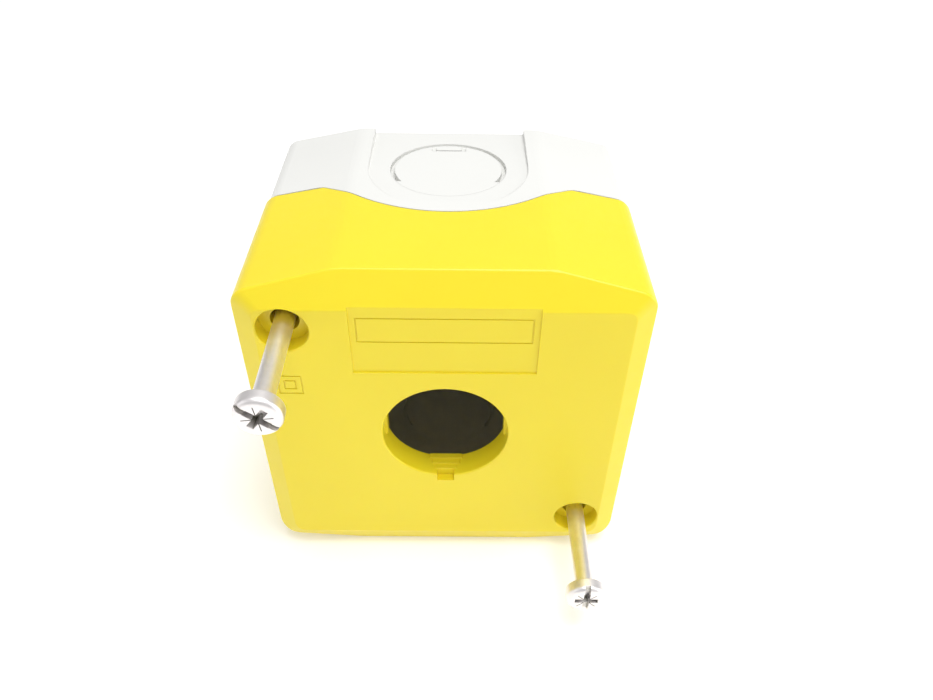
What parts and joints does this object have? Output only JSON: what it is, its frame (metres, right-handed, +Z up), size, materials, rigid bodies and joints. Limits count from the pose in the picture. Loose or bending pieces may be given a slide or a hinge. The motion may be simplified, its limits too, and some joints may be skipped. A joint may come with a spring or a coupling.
{
  "type": "empty push-button control station enclosure",
  "caption": "Empty one-hole wall enclosure for a 22 mm push button: yellow lid, grey base, captive lid screws backed out, cable knock-outs in both ends.",
  "frame": {"origin": "centre of the flat back of the base, the face that goes against the wall", "axes": "+X to the right seen from the front, +Y from the lid's face to the back, +Z up towards the visible cable knock-out"},
  "size_m": [0.068, 0.0725, 0.068],
  "materials": {
    "yellow_plastic": "satin",
    "grey_plastic": "satin",
    "seal_rubber": "matte",
    "zinc_steel": "satin",
    "nylon": "matte",
    "brass": "satin"
  },
  "bodies": {
    "base": {"base": "grey_plastic", "upper_knockout": "grey_plastic", "lower_knockout": "grey_plastic", "upper_insert": "brass", "lower_insert": "brass"},
    "lid": {"lid": "yellow_plastic", "lid_gasket": "seal_rubber"},
    "upper_washer": {"upper_retaining_washer": "nylon"},
    "upper_screw": {"upper_screw": "zinc_steel"},
    "lower_washer": {"lower_retaining_washer": "nylon"},
    "lower_screw": {"lower_screw": "zinc_steel"}
  },
  "joints": [
    {"name": "lid_lift", "type": "slide", "parent": "base", "child": "lid", "axis": [0, -1, 0], "range_m": [0, 0.06]},
    {"name": "upper_screw_travel", "type": "slide", "parent": "lid", "child": "upper_washer", "axis": [0, 1, 0], "range_m": [0, 0.0199]},
    {"name": "upper_screw_spin", "type": "hinge", "parent": "upper_washer", "child": "upper_screw", "pos_m": [-0.0261, -0.05, 0.0241], "axis": [0, 1, 0], "continuous": true},
    {"name": "lower_screw_travel", "type": "slide", "parent": "lid", "child": "lower_washer", "axis": [0, 1, 0], "range_m": [-0.0007, 0.0192]},
    {"name": "lower_screw_spin", "type": "hinge", "parent": "lower_washer", "child": "lower_screw", "pos_m": [0.0261, -0.05, -0.0241], "axis": [0, 1, 0], "continuous": true}
  ]
}
